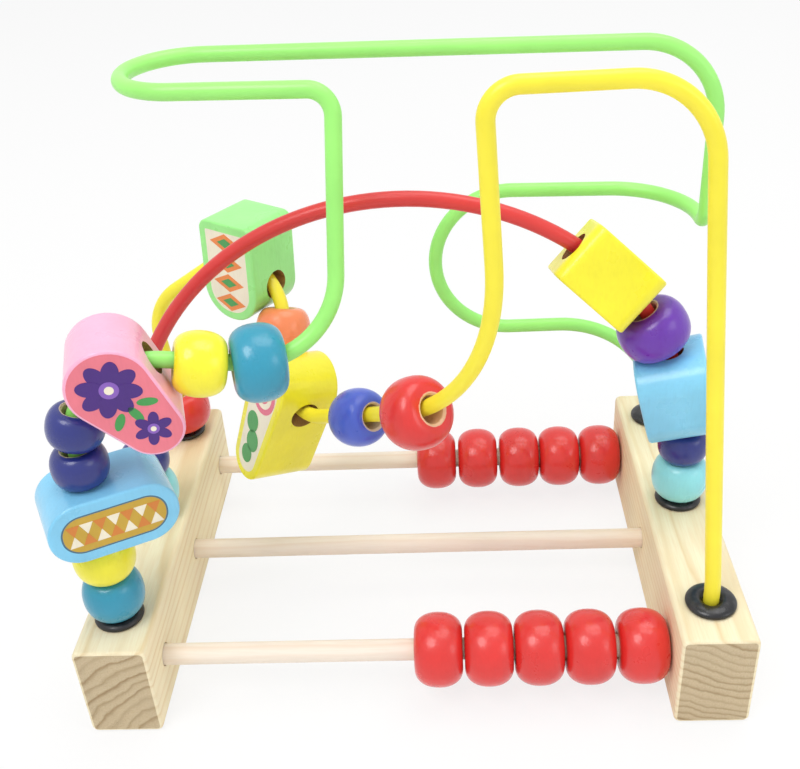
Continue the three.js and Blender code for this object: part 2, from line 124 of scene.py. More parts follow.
# %% [markdown]
# ## Node helpers
#
# Materials are graphs of nodes. Short helpers keep them readable: they add a node and fill its
# sockets with values or links, do sums, and blend colours. Colours are written as they look on
# screen, so they are changed by the sRGB curve to the linear values that shaders work with.

# %% Node helpers
def screen_colour(code):
    channels = [int(code[i:i + 2], 16) / 255 for i in (0, 2, 4)]
    linear = [c / 12.92 if c <= 0.04045 else ((c + 0.055) / 1.055) ** 2.4 for c in channels]
    return (*linear, 1.0)


def grey(level):
    return (level, level, level, 1)


def add_node(tree, kind, inputs=(), **settings):
    node = tree.nodes.new("ShaderNode" + kind)
    for name, value in settings.items():
        setattr(node, name, value)
    for name, value in dict(inputs).items():
        if isinstance(value, bpy.types.NodeSocket):
            tree.links.new(value, node.inputs[name])
        else:
            node.inputs[name].default_value = value
    return node


def calculate(tree, operation, *values):
    return add_node(tree, "Math", enumerate(values), operation=operation).outputs[0]


def blend_colour(tree, share, first, second, mode="MIX"):
    inputs = {"Factor": share, 6: first, 7: second}
    return add_node(tree, "Mix", inputs, data_type="RGBA", blend_type=mode).outputs[2]


def remap(tree, value, span, result):
    inputs = {0: value, 1: span[0], 2: span[1], 3: result[0], 4: result[1]}
    return add_node(tree, "MapRange", inputs).outputs[0]

# %% [markdown]
# Three more helpers draw noise: plain, stretched along the fibres of wood, and as soft clouds that
# let a colour drift between a darker and a lighter tone.

# %% Noise helpers
CLOUD_SPAN = (0.3, 0.7)


def noise(tree, place, scale, detail):
    inputs = {"Vector": place, "Scale": scale, "Detail": detail}
    return add_node(tree, "TexNoise", inputs).outputs[0]


def stretched_noise(tree, place, cells, detail):
    stretched = add_node(tree, "VectorMath", {0: place, 1: cells}, operation="MULTIPLY")
    return noise(tree, stretched.outputs[0], 1.0, detail)


def mottle(tree, colour, place, scale, detail, tones):
    tone = remap(tree, noise(tree, place, scale, detail), CLOUD_SPAN, tones)
    return blend_colour(tree, 1.0, colour, tone, "MULTIPLY")

# %% [markdown]
# An effect that several finishes share is a node group with named inputs and outputs. The last
# helpers start and place a group, start a material, and turn a height into bumps.

# %% Group and material helpers
def start_group(name, inputs, outputs):
    group = bpy.data.node_groups.new(name, "ShaderNodeTree")
    for label, kind in inputs.items():
        group.interface.new_socket(label, in_out="INPUT", socket_type="NodeSocket" + kind)
    for label, kind in outputs.items():
        group.interface.new_socket(label, in_out="OUTPUT", socket_type="NodeSocket" + kind)
    entry = group.nodes.new("NodeGroupInput")
    leave = group.nodes.new("NodeGroupOutput")
    return group, entry.outputs, leave.inputs


def place_group(tree, group, inputs):
    return add_node(tree, "Group", inputs, node_tree=group).outputs


def start_material(name):
    material = bpy.data.materials.new(name)
    material.use_nodes = True
    tree = material.node_tree
    surface = tree.nodes["Principled BSDF"]
    place = tree.nodes.new("ShaderNodeTexCoord").outputs["Object"]
    return material, tree, surface, place


def link_bump(tree, surface, height, depth):
    bump = add_node(tree, "Bump", {"Height": height, "Distance": depth, "Strength": 1.0})
    tree.links.new(bump.outputs[0], surface.inputs["Normal"])

# %% [markdown]
# ## Timber
#
# Pine shows its growth rings twice: as curved lines on the sawn ends and as long streaks on the
# other faces. A picture wrapped round the board would break at the edges. A solid pattern doesn't:
# rings are drawn round the heart of the tree, a line beside the board, and every face simply cuts
# through them. The group takes a place in millimetres with the fibres along Y, and gives the dark
# late wood, the fine fibres and the pores. Pine and beech both use it, with their own ring spacing.

# %% Growth ring group
ACROSS_FIBRES = (1, 0, 1)
DRIFT_CELLS, TREMBLE_CELLS = (0.06, 0.009, 0.06), (0.5, 0.05, 0.5)
FIBRE_CELLS, PORE_CELLS = (2.4, 0.1, 2.4), (5.0, 0.6, 5.0)
TREMBLE_MM = 0.9
RING_EDGE = 0.3
RING_LEVELS = ((0.14, 0.0), (0.58, 0.16), (0.88, 1.0))
VIGOUR = (0.35, 1.0)

growth_rings, entry, leave = start_group(
    "growth_rings",
    {"Place": "Vector", "Ring spacing": "Float", "Waviness": "Float"},
    {"Late wood": "Float", "Fibre": "Float", "Pores": "Float"},
)
across = add_node(
    growth_rings, "VectorMath", {0: entry["Place"], 1: ACROSS_FIBRES}, operation="MULTIPLY")
radius = add_node(growth_rings, "VectorMath", {0: across.outputs[0]}, operation="LENGTH")
drift = stretched_noise(growth_rings, entry["Place"], DRIFT_CELLS, detail=2.0)
tremble = stretched_noise(growth_rings, entry["Place"], TREMBLE_CELLS, detail=1.0)
wander = calculate(
    growth_rings, "MULTIPLY_ADD", drift, entry["Waviness"], radius.outputs["Value"])
wander = calculate(growth_rings, "MULTIPLY_ADD", tremble, TREMBLE_MM, wander)
phase = calculate(growth_rings, "DIVIDE", wander, entry["Ring spacing"])
ring = calculate(growth_rings, "FRACT", phase)
year = calculate(growth_rings, "FLOOR", phase)
luck = add_node(growth_rings, "TexWhiteNoise", {"W": year}, noise_dimensions="1D")
shape = add_node(growth_rings, "ValToRGB", {0: ring})
ramp = shape.color_ramp
for end in ramp.elements:
    end.color = grey(RING_EDGE)
for position, level in RING_LEVELS:
    ramp.elements.new(position).color = grey(level)
strength = remap(growth_rings, luck.outputs["Value"], (0.0, 1.0), VIGOUR)
late = calculate(growth_rings, "MULTIPLY", shape.outputs[0], strength)
growth_rings.links.new(late, leave["Late wood"])
fibre = stretched_noise(growth_rings, entry["Place"], FIBRE_CELLS, detail=3.0)
growth_rings.links.new(fibre, leave["Fibre"])
pores = stretched_noise(growth_rings, entry["Place"], PORE_CELLS, detail=2.0)
growth_rings.links.new(pores, leave["Pores"])
print("Timber group has", len(growth_rings.nodes), "nodes")

# %% [markdown]
# The sawn ends drink light and look greyer and darker than the planed faces, with rougher rings. So
# one function makes both finishes, from the same rings, and each rail has its own heart line: the
# left rail's lies low on its inner side, which gives slanting rings, and the right rail's lies high
# above it, which gives flat ones. The dowels' fibres run along X, so their pattern is turned.

# %% Timber finish
STREAK_SPAN, STREAK_SHARE = (0.42, 0.72), (0.0, 0.55)
PORE_SPAN, WOOD_ROUGHNESS = (0.2, 0.8), (0.5, 0.72)
LATE_RELIEF, PORE_RELIEF = 0.7, 0.5


def timber(name, heart, spacing, waviness, colours, relief, turn=0.0):
    early, late_tone, fibre_tone = map(screen_colour, colours)
    material, tree, surface, place = start_material(name)
    heart_line = Vector((0, *heart)) if turn else Vector((heart[0], 0, heart[1]))
    centred = add_node(
        tree, "VectorMath", {0: place, 1: SITE @ heart_line}, operation="SUBTRACT")
    mapping = add_node(tree, "Mapping", {
        "Vector": centred.outputs[0], "Rotation": (0, 0, turn), "Scale": 3 * (1 / MM,)})
    wood = place_group(tree, growth_rings, {
        "Place": mapping.outputs[0], "Ring spacing": spacing, "Waviness": waviness})
    colour = blend_colour(tree, wood["Late wood"], early, late_tone)
    streak = remap(tree, wood["Fibre"], STREAK_SPAN, STREAK_SHARE)
    colour = blend_colour(tree, streak, colour, fibre_tone)
    colour = mottle(tree, colour, place, scale=28.0, detail=2.0, tones=(0.93, 1.05))
    tree.links.new(colour, surface.inputs["Base Color"])
    rough = remap(tree, wood["Pores"], PORE_SPAN, WOOD_ROUGHNESS)
    tree.links.new(rough, surface.inputs["Roughness"])
    grain = calculate(tree, "MULTIPLY_ADD", wood["Late wood"], LATE_RELIEF, wood["Fibre"])
    grain = calculate(tree, "MULTIPLY_ADD", wood["Pores"], PORE_RELIEF, grain)
    link_bump(tree, surface, grain, relief)
    surface.inputs["Specular IOR Level"].default_value = 0.35
    return material

# %% Pine and beech
LEFT_TREE = {"heart": (-54, -22), "spacing": 3.4, "waviness": 9.0}
RIGHT_TREE = {"heart": (97, 84), "spacing": 2.4, "waviness": 7.0}
PLANED = {"colours": ("FBF0CE", "E8D0A2", "F2DDB4"), "relief": 0.00012}
SAWN = {"colours": ("D8C5A2", "A4875F", "C0A781"), "relief": 0.0003}
left_pine = timber("pine_left", **LEFT_TREE, **PLANED)
left_end = timber("pine_left_end", **LEFT_TREE, **SAWN)
right_pine = timber("pine_right", **RIGHT_TREE, **PLANED)
right_end = timber("pine_right_end", **RIGHT_TREE, **SAWN)
beech = timber(
    "beech", heart=(-75, -30), spacing=3.0, waviness=5.0,
    colours=("FAEEE0", "F0DCC8", "F4E2D0"), relief=0.00006, turn=math.pi / 2)
# The inside of the blocks' bores: raw wood in a much darker tone than the beads' bare wood, a painted
# shade for the hole.
darkened_bore_wood = timber(
    "darkened_bore_wood", heart=(0, 300), spacing=2.2, waviness=5.0,
    colours=("B98F5E", "8A6238", "9C7448"), relief=0.0002)
print("Timber finishes:", left_pine.name, right_pine.name, beech.name)

# %% [markdown]
# ## Gloss paint, ink, coated wire and black plastic
#
# Toy paint is sprayed in thin coats: it pools a little, shows a faint orange peel, and doesn't
# reach into the bore. Hands leave smudges that change the gloss more than the colour. The first
# group makes the smudges and the peel, and every glossy finish uses it. The second group makes the
# paint itself: it lets the tone drift and lets bare wood through wherever the piece's own "bare"
# attribute says so. On the beads that is the bare bore; on the blocks' rims it is a lighter edge, a
# painted highlight.

# %% Handled gloss group
MIDDLE_NOISE = 0.5

handled_gloss, entry, leave = start_group(
    "handled_gloss",
    {"Place": "Vector", "Gloss": "Float", "Smudge": "Float"},
    {"Roughness": "Float", "Peel": "Float"},
)
smear = noise(handled_gloss, entry["Place"], scale=130.0, detail=4.0)
smear = calculate(handled_gloss, "SUBTRACT", smear, MIDDLE_NOISE)
smear = calculate(handled_gloss, "MULTIPLY_ADD", smear, entry["Smudge"], entry["Gloss"])
handled_gloss.links.new(smear, leave["Roughness"])
peel = noise(handled_gloss, entry["Place"], scale=420.0, detail=2.0)
handled_gloss.links.new(peel, leave["Peel"])
print("Gloss group has", len(handled_gloss.nodes), "nodes")

# %% Sprayed paint group
GRAIN_CELLS = (1500, 1500, 160)
GRAIN_SPAN, GRAIN_SHARE = (0.45, 0.8), (0.0, 0.1)
GRAIN_TINT = (0.6, 0.55, 0.55, 1)
SPECK_WEIGHT = 0.5
BARE_AND_RIM_LIGHT_SPAN, BARE_AND_RIM_LIGHT_SHARE = (0.72, 0.95), (0.0, 0.75)
BARE_WOOD = "EAD2AC"

sprayed_paint, entry, leave = start_group(
    "sprayed_paint",
    {"Place": "Vector", "Paint": "Color", "Bare": "Float"},
    {"Colour": "Color", "Bare wood": "Float", "Grain": "Float"},
)
colour = mottle(
    sprayed_paint, entry["Paint"], entry["Place"], scale=70.0, detail=3.0, tones=(0.93, 1.06))
grain = stretched_noise(sprayed_paint, entry["Place"], GRAIN_CELLS, detail=2.0)
line = remap(sprayed_paint, grain, GRAIN_SPAN, GRAIN_SHARE)
deeper = blend_colour(sprayed_paint, 1.0, colour, GRAIN_TINT, "MULTIPLY")
colour = blend_colour(sprayed_paint, line, colour, deeper)
speck = noise(sprayed_paint, entry["Place"], scale=900.0, detail=3.0)
# Bare wood shows where the mark says: the bare bore of a bead, and a lighter block rim that is a
# painted highlight.
bare_wood_and_rim_light = calculate(sprayed_paint, "MULTIPLY_ADD", speck, SPECK_WEIGHT, entry["Bare"])
bare_wood_and_rim_light = remap(sprayed_paint, bare_wood_and_rim_light, BARE_AND_RIM_LIGHT_SPAN, BARE_AND_RIM_LIGHT_SHARE)
colour = blend_colour(sprayed_paint, bare_wood_and_rim_light, colour, screen_colour(BARE_WOOD))
sprayed_paint.links.new(colour, leave["Colour"])
sprayed_paint.links.new(bare_wood_and_rim_light, leave["Bare wood"])
sprayed_paint.links.new(grain, leave["Grain"])
print("Paint group has", len(sprayed_paint.nodes), "nodes")

# %% [markdown]
# Three finishes are made from the groups. Paint and ink differ only in colour and gloss. The wire's
# plastic coat has no grain under it, and dust settles on the black plastic.

# %% Finishes made from the groups
BARE_ROUGHER = 0.3
GRAIN_RELIEF = 0.35
DUST, DUST_SPAN, DUST_SHARE = "77777C", (0.5, 0.85), (0.0, 0.25)


def gloss_paint(name, code, gloss=0.3):
    material, tree, surface, place = start_material(name)
    bare = add_node(tree, "Attribute", attribute_name="bare").outputs["Fac"]
    paint = place_group(tree, sprayed_paint, {
        "Place": place, "Paint": screen_colour(code), "Bare": bare})
    hand = place_group(tree, handled_gloss, {"Place": place, "Gloss": gloss, "Smudge": 0.22})
    tree.links.new(paint["Colour"], surface.inputs["Base Color"])
    rough = calculate(
        tree, "MULTIPLY_ADD", paint["Bare wood"], BARE_ROUGHER, hand["Roughness"])
    tree.links.new(rough, surface.inputs["Roughness"])
    skin = calculate(tree, "MULTIPLY_ADD", paint["Grain"], GRAIN_RELIEF, hand["Peel"])
    link_bump(tree, surface, skin, depth=0.00012)
    surface.inputs["Coat Weight"].default_value = 0.25
    surface.inputs["Coat Roughness"].default_value = 0.12
    return material


def coated_wire(name, code):
    material, tree, surface, place = start_material(name)
    hand = place_group(tree, handled_gloss, {"Place": place, "Gloss": 0.34, "Smudge": 0.2})
    colour = mottle(
        tree, screen_colour(code), place, scale=45.0, detail=3.0, tones=(0.92, 1.05))
    tree.links.new(colour, surface.inputs["Base Color"])
    tree.links.new(hand["Roughness"], surface.inputs["Roughness"])
    link_bump(tree, surface, hand["Peel"], depth=0.00008)
    return material


def black_plastic(name, code):
    material, tree, surface, place = start_material(name)
    hand = place_group(tree, handled_gloss, {"Place": place, "Gloss": 0.3, "Smudge": 0.35})
    dust = remap(tree, noise(tree, place, scale=500.0, detail=4.0), DUST_SPAN, DUST_SHARE)
    colour = blend_colour(tree, dust, screen_colour(code), screen_colour(DUST))
    tree.links.new(colour, surface.inputs["Base Color"])
    tree.links.new(hand["Roughness"], surface.inputs["Roughness"])
    link_bump(tree, surface, hand["Peel"], depth=0.0001)
    return material

# %% Colours
PAINTS = {
    "paint_red": "E0302C",
    "paint_blue": "2A97B6",
    "paint_yellow": "FCF22E",
    "paint_sky_blue": "84D0F4",
    "paint_navy": "252F80",
    "paint_indigo": "4A64D4",
    "paint_pink": "FBB4D2",
    "paint_orange": "FB8E5C",
    "paint_violet": "6A2FB2",
    "paint_pale_cyan": "92E2EA",
    "paint_leaf_green": "A0F48E",
}
INKS = {
    "coral": "F07C8C", "plum": "44127E", "lilac": "8A5CC0", "leaf": "3F9E4C", "gold": "CDA62E",
    "slate": "3C6C86", "amber": "D9822B", "cream": "F6EED6", "rose": "E8708A",
    "maroon": "8C2438", "tangerine": "F08A3C",
}
COATS = {"red_coat": "DA3A38", "green_coat": "A2F47A", "yellow_coat": "FFF03C"}
INK_GLOSS = 0.42
paints = {name: gloss_paint("gloss_" + name, code) for name, code in PAINTS.items()}
coats = {name: coated_wire("wire_" + name, code) for name, code in COATS.items()}
grommet_black = black_plastic("grommet_black", "1B1B1F")
inks = {name: gloss_paint("ink_" + name, code, INK_GLOSS) for name, code in INKS.items()}
print(len(paints), "paints,", len(inks), "inks,", len(coats), "wire coats")

# %% [markdown]
# ## From a bmesh to a piece
#
# Every piece ends the same way. Its bmesh is built in millimetres about a handy origin, moved to
# its place by one matrix, made a mesh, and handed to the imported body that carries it. The object
# itself stays at the origin, so that solid patterns are read in the same frame everywhere. Holes
# are cut last, with a boolean modifier whose result becomes the mesh.

# %% Piece helpers
SHARP_ANGLE = math.radians(40)


def finish_piece(name, bm, materials, node, slot, place=Matrix(), stands_for=True):
    bmesh.ops.recalc_face_normals(bm, faces=bm.faces)
    bmesh.ops.transform(bm, matrix=SITE @ place, verts=bm.verts)
    mesh = bpy.data.meshes.new(name)
    bm.to_mesh(mesh)
    bm.free()
    for material in materials:
        mesh.materials.append(material)
    mesh.shade_smooth()
    mesh.set_sharp_from_angle(angle=SHARP_ANGLE)
    piece = bpy.data.objects.new(name, mesh)
    scene.collection.objects.link(piece)
    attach(piece, BODY_OF[node])
    if stands_for:
        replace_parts(piece, node)
    return piece


def drill(piece, bits):
    """Cuts closed cylinders, a bmesh in metres, out of a piece."""
    mesh = bpy.data.meshes.new("bits")
    bits.to_mesh(mesh)
    bits.free()
    cutter = bpy.data.objects.new("bits", mesh)
    scene.collection.objects.link(cutter)
    boolean = piece.modifiers.new("bore", "BOOLEAN")
    boolean.operation = "DIFFERENCE"
    boolean.solver = "EXACT"
    boolean.object = cutter
    bpy.context.view_layer.update()
    graph = bpy.context.evaluated_depsgraph_get()
    drilled = bpy.data.meshes.new_from_object(piece.evaluated_get(graph))
    piece.modifiers.remove(boolean)
    piece.data = drilled
    bpy.data.objects.remove(cutter)
    drilled.name = piece.name
    drilled.shade_smooth()
    drilled.set_sharp_from_angle(angle=SHARP_ANGLE)


def level_normals(piece):
    piece.modifiers.new("flat_faces", "WEIGHTED_NORMAL").keep_sharp = True

# %% Shape helpers
NEAR = 1e-3
PARALLEL = 0.999


def along_axis(edge, axis):
    step = edge.verts[1].co - edge.verts[0].co
    return abs(step[axis]) > PARALLEL * step.length


def round_edges(bm, edges, offset, segments):
    bmesh.ops.bevel(
        bm, geom=edges, offset=offset, affect="EDGES", segments=segments, profile=0.5,
        material=-1)


def add_cylinder(bm, radius, length, sides, matrix=Matrix()):
    return bmesh.ops.create_cone(
        bm, cap_ends=True, segments=sides, radius1=radius, radius2=radius, depth=length,
        matrix=matrix)["verts"]

# %% [markdown]
# ## Rails
#
# Each rail is a planed board with eased long edges and sharper sawn ends. A cube is scaled to size,
# its four long edges are bevelled, then the edges round its ends with a smaller bevel. The holes
# for the dowels and the grommets are cut with one set of cylinders, as a drill would.

# %% Rails
RAIL = Vector((20, 118, 30))
RAIL_MIDDLE = 80
INNER_FACE = RAIL_MIDDLE - RAIL.x / 2
RAIL_ROUND, END_ROUND = 1.8, 0.8
ROWS = {"front": -45, "middle": 0, "back": 45}
SOCKET_RADIUS, SOCKET_DEPTH, DOWEL_HEIGHT = 3.3, 10, 15
HOLE_RADIUS, HOLE_DEPTH = 4.6, 8.3
ROUND_SIDES = 40
ALONG_X = Matrix.Rotation(math.pi / 2, 4, "Y")


def at_board_end(edge):
    reach = sum(abs(vert.co.y) for vert in edge.verts)
    return abs(reach - RAIL.y) < NEAR and not along_axis(edge, 1)


def add_bit(bits, middle, turn, radius, depth):
    matrix = SITE @ Matrix.Translation(middle) @ turn
    add_cylinder(bits, radius, 2 * depth, ROUND_SIDES, matrix)


for name, side, finishes in (
    ("left_rail", -1, [left_pine, left_end]),
    ("right_rail", 1, [right_pine, right_end]),
):
    board = bmesh.new()
    bmesh.ops.create_cube(board, size=1, matrix=Matrix.Diagonal((*RAIL, 1)))
    long_edges = [edge for edge in board.edges if along_axis(edge, 1)]
    round_edges(board, long_edges, RAIL_ROUND, segments=5)
    rims = [edge for edge in board.edges if at_board_end(edge)]
    round_edges(board, rims, END_ROUND, segments=3)
    for face in board.faces:
        if abs(face.calc_center_median().y) > RAIL.y / 2 - NEAR:
            face.material_index = 1
    rail = finish_piece(
        name + "_board", board, finishes, name, "pine",
        Matrix.Translation((side * RAIL_MIDDLE, 0, RAIL.z / 2)))
    bits = bmesh.new()
    for row in ROWS.values():
        socket, hole = (side * INNER_FACE, row, DOWEL_HEIGHT), (side * RAIL_MIDDLE, row, RAIL.z)
        add_bit(bits, socket, ALONG_X, SOCKET_RADIUS, SOCKET_DEPTH)
        add_bit(bits, hole, Matrix(), HOLE_RADIUS, HOLE_DEPTH)
    drill(rail, bits)
    level_normals(rail)
    print(rail.name, len(rail.data.polygons), "faces")

# %% [markdown]
# ## Dowels and grommets
#
# A dowel is a plain rod with eased ends, so a cylinder with bevelled rims does. A grommet is
# turned: half of its section is drawn as a chain of points and spun round its axis. The section has
# a domed flange, a soft lip at the wire and a barrel that goes down into the rail.

# %% Dowels and grommets
FIT = 0.3
DOWEL_RADIUS, DOWEL_EASE = 3, 0.5
DOWEL_LENGTH = 2 * (INNER_FACE + SOCKET_DEPTH - FIT)
LATHE_STEPS = 56
SEAM_NEAR = 1e-4
GROMMET_SECTION = [
    (2.4, -8.0), (4.3, -8.0), (4.3, 0.3), (6.4, 0.3), (6.68, 0.42), (6.75, 0.7), (6.72, 1.05),
    (6.5, 1.4), (6.0, 1.75), (5.3, 2.05), (4.6, 2.22), (4.0, 2.3), (3.5, 2.22), (3.1, 1.95),
    (2.85, 1.6), (2.6, 1.4), (2.4, 1.3),
]


def spin_profile(points, bare=()):
    """Turns a closed chain of (radius, height) points round Z. Some are marked as bare wood."""
    bm = bmesh.new()
    mark = bm.verts.layers.float.new("bare")
    chain = [bm.verts.new((radius, 0, height)) for radius, height in points]
    for index in bare:
        chain[index][mark] = 1.0
    edges = [bm.edges.new(pair) for pair in zip(chain, chain[1:] + chain[:1])]
    bmesh.ops.spin(
        bm, geom=chain + edges, cent=(0, 0, 0), axis=(0, 0, 1), angle=2 * math.pi,
        steps=LATHE_STEPS, use_merge=True)
    bmesh.ops.remove_doubles(bm, verts=bm.verts, dist=SEAM_NEAR)
    return bm


for row_name, row in ROWS.items():
    rod = bmesh.new()
    add_cylinder(rod, DOWEL_RADIUS, DOWEL_LENGTH, ROUND_SIDES)
    rims = [edge for edge in rod.edges if not along_axis(edge, 2)]
    round_edges(rod, rims, DOWEL_EASE, segments=2)
    finish_piece(
        row_name + "_dowel_rod", rod, [beech], row_name + "_dowel", "beech",
        Matrix.Translation((0, row, DOWEL_HEIGHT)) @ ALONG_X)
    for side_name, side in (("left", -1), ("right", 1)):
        node = f"{side_name}_{row_name}_grommet"
        finish_piece(
            node + "_cap", spin_profile(GROMMET_SECTION), [grommet_black], node, "rubber",
            Matrix.Translation((side * RAIL_MIDDLE, row, RAIL.z)))
print("Dowels and grommets stand in", len(ROWS), "rows")

# %% [markdown]
# ## Wire routes
#
# A wire is bent on a jig: straight stretches joined by round bends. So a route is a list of
# corners, each with the radius of its bend, and this cell turns it into stretches with a start, a
# heading, a length and, for a bend, an axis and a centre. A bend that finds too little room between
# its neighbours gets a smaller radius. Beads find their places along the same routes.

# %% Bending a route
def bend_route(corners):
    points = [Vector(corner[:3]) for corner in corners]
    steps = [after - before for before, after in zip(points, points[1:])]
    headings = [step.normalized() for step in steps]
    turns = [before.angle(after) for before, after in zip(headings, headings[1:])]
    wanted = [corner[3] * math.tan(turn / 2) for corner, turn in zip(corners[1:-1], turns)]
    room = [step.length / (before + after)
            for step, before, after in zip(steps, [0, *wanted], [*wanted, 0])]
    trims = [trim * min(1, before, after) for trim, before, after in zip(wanted, room, room[1:])]
    route, begin, total = [], points[0], 0
    for index, corner in enumerate(points[1:]):
        trim = trims[index] if index < len(trims) else 0
        heading = headings[index]
        run = (corner - heading * trim - begin).length
        if run > FIT:
            route.append({"begin": begin, "heading": heading, "from": total, "length": run})
            total += run
        if trim:
            begin = corner - heading * trim
            radius = trim / math.tan(turns[index] / 2)
            axis = heading.cross(headings[index + 1]).normalized()
            centre = begin + axis.cross(heading) * radius
            route.append({
                "begin": begin, "heading": heading, "from": total,
                "length": radius * turns[index], "axis": axis, "centre": centre,
                "radius": radius})
            total += radius * turns[index]
            begin = corner + headings[index + 1] * trim
    return route


def route_length(route):
    return route[-1]["from"] + route[-1]["length"]


def on_route(route, distance):
    part = next((part for part in route if distance < part["from"] + part["length"]), route[-1])
    along = distance - part["from"]
    if "axis" not in part:
        return part["begin"] + part["heading"] * along, part["heading"]
    turn = Matrix.Rotation(along / part["radius"], 3, part["axis"])
    return part["centre"] + turn @ (part["begin"] - part["centre"]), turn @ part["heading"]

# %% Wire routes
LEG_START = 22


def leg(side, row):
    return (side * RAIL_MIDDLE, ROWS[row], LEG_START)


red_route = bend_route([
    leg(1, "middle"), (80, 0, 130, 80), (-80, 0, 130, 80), leg(-1, "middle")])
green_route = bend_route([
    leg(-1, "front"), (-80, -45, 113, 20), (-15.5, -28, 97, 21), (-12, -14, 163, 6),
    (-66.5, -9, 163, 17), (-66.5, 25, 163, 17), (84, 17, 162, 20), (84, 17, 112, 5),
    (84, 45, 112, 22.5), (9, 45, 114, 23.5), (9, 45, 67, 23.5), (80, 45, 67, 32),
    leg(1, "back")])
yellow_route = bend_route([
    leg(1, "front"), (80, -45, 36, 60), (70, -36, 168.5, 20), (21.5, -42, 170, 7),
    (25, -42, 92, 55), (-43, 14, 54.5, 18), (-30, 36, 115, 18.5), (-83.5, 45, 79, 20),
    (-80, 45, 40, 40), leg(-1, "back")])
routes = {"red_wire": red_route, "green_wire": green_route, "yellow_wire": yellow_route}
print("Wire lengths in mm:", {name: round(route_length(route)) for name, route in routes.items()})

# %% [markdown]
# ## Wires
#
# A curve with a round bevel would draw the wires too. Spinning is closer to how they are made: a
# ring of points is pushed along each straight stretch by an extrusion and turned round each bend by
# a spin, in steps fine enough that the bend looks round.

# %% Wires
WIRE_RADIUS = 2.1
RING_SIDES = 24
BEND_ERROR = 0.015


def sweep_wire(route):
    bm = bmesh.new()
    first = route[0]
    aim = first["heading"].to_track_quat("Z", "Y").to_matrix().to_4x4()
    bmesh.ops.create_circle(
        bm, cap_ends=True, segments=RING_SIDES, radius=WIRE_RADIUS,
        matrix=Matrix.Translation(first["begin"]) @ aim)
    ring = list(bm.edges)
    for part in route:
        if "axis" in part:
            angle = part["length"] / part["radius"]
            step = 2 * math.acos(1 - BEND_ERROR / part["radius"])
            verts = list({vert for edge in ring for vert in edge.verts})
            made = bmesh.ops.spin(
                bm, geom=verts + ring, cent=part["centre"], axis=part["axis"], angle=angle,
                steps=math.ceil(angle / step), use_merge=False)["geom_last"]
        else:
            made = bmesh.ops.extrude_edge_only(bm, edges=ring)["geom"]
            verts = [item for item in made if isinstance(item, bmesh.types.BMVert)]
            bmesh.ops.translate(bm, vec=part["heading"] * part["length"], verts=verts)
        ends = {item for item in made if isinstance(item, bmesh.types.BMVert)}
        ring = [item for item in made
                if isinstance(item, bmesh.types.BMEdge) and ends.issuperset(item.verts)]
    bmesh.ops.contextual_create(bm, geom=ring)
    return bm


for name, route in routes.items():
    coat = name.replace("wire", "coat")
    tube = finish_piece(name + "_tube", sweep_wire(route), [coats[coat]], name, coat)
    print(tube.name, len(tube.data.polygons), "faces")

# %% [markdown]
# ## Where pieces sit on a wire
#
# A bored piece hangs loosely: its bore lines up with the stretch of wire inside it, and it drops by
# most of its play. Pieces in a stack rest end to end from the grommet up, with a little more room
# where the wire bends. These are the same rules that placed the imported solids, so the new pieces
# fall exactly on the old ones, and the boxes printed later show it.

# %% Seats and stacks
HANG = 0.7
SEAT_STEPS, DROP_STEPS = 8, 20
STACK_RIM = 6.5
GROMMET_TOP = 10.3


def flatten(vector, heading):
    return vector - heading * vector.dot(heading)


def seat(route, distance, length, bore):
    point, _ = on_route(route, distance)
    inside = [on_route(route, distance + length * (i / SEAT_STEPS - 0.5))[0]
              for i in range(SEAT_STEPS + 1)]
    heading = (inside[-1] - inside[0]).normalized()
    strays = [flatten(spot - point, heading) for spot in inside]
    lows, highs = map(min, zip(*strays)), map(max, zip(*strays))
    middle = (Vector(lows) + Vector(highs)) / 2
    slack = bore / 2 - WIRE_RADIUS - FIT
    down = flatten(Vector((0, 0, -1)), heading)
    drops = [slack * i / DROP_STEPS for i in range(2 * DROP_STEPS)]
    clear = [drop for drop in drops
             if all((stray - middle - down * drop).length <= slack for stray in strays)]
    return point + middle + down * HANG * max([0, *clear]), heading


def stack(route, lengths, from_end=False):
    total = route_length(route)

    def heading_at(distance):
        return on_route(route, total - distance if from_end else distance)[1]

    distance, heading, places = GROMMET_TOP, heading_at(GROMMET_TOP), []
    for length in lengths:
        following = heading_at(distance + FIT + length / 2)
        distance += FIT + STACK_RIM * math.tan(heading.angle(following)) + length
        heading = following
        places.append(distance - length / 2)
    return [total - place for place in places] if from_end else places


def along_bend(route, index, share, shift=0.0):
    bend = [part for part in route if "axis" in part][index]
    return bend["from"] + bend["length"] * share + shift

# %% [markdown]
# ## Beads
#
# Beads are turned on a lathe, so they are spun here: a section with a bulging side between two
# flats and a small chamfer where the drill broke through. The chamfer and the bore are marked bare,
# because the spray doesn't reach them and the wood shows as a pale rim.

# %% Beads
BEADS = {
    "abacus": {"diameter": 20.5, "length": 13.4, "bore": 7.0, "flat": 1.6, "fullness": 2.2},
    "ball": {"diameter": 16.5, "length": 12.8, "bore": 7.0, "flat": 0.8, "fullness": 2.1},
    "small": {"diameter": 14.5, "length": 9.8, "bore": 7.0, "flat": 0.8, "fullness": 2.1},
    "drum": {"diameter": 19.8, "length": 13.2, "bore": 7.6, "flat": 1.2, "fullness": 2.3},
}
SIDE_STEPS = 18
CHAMFER = 0.45
BORE_FACETS = 12
RIM_SHARE = 1 / math.cos(math.pi / BORE_FACETS)


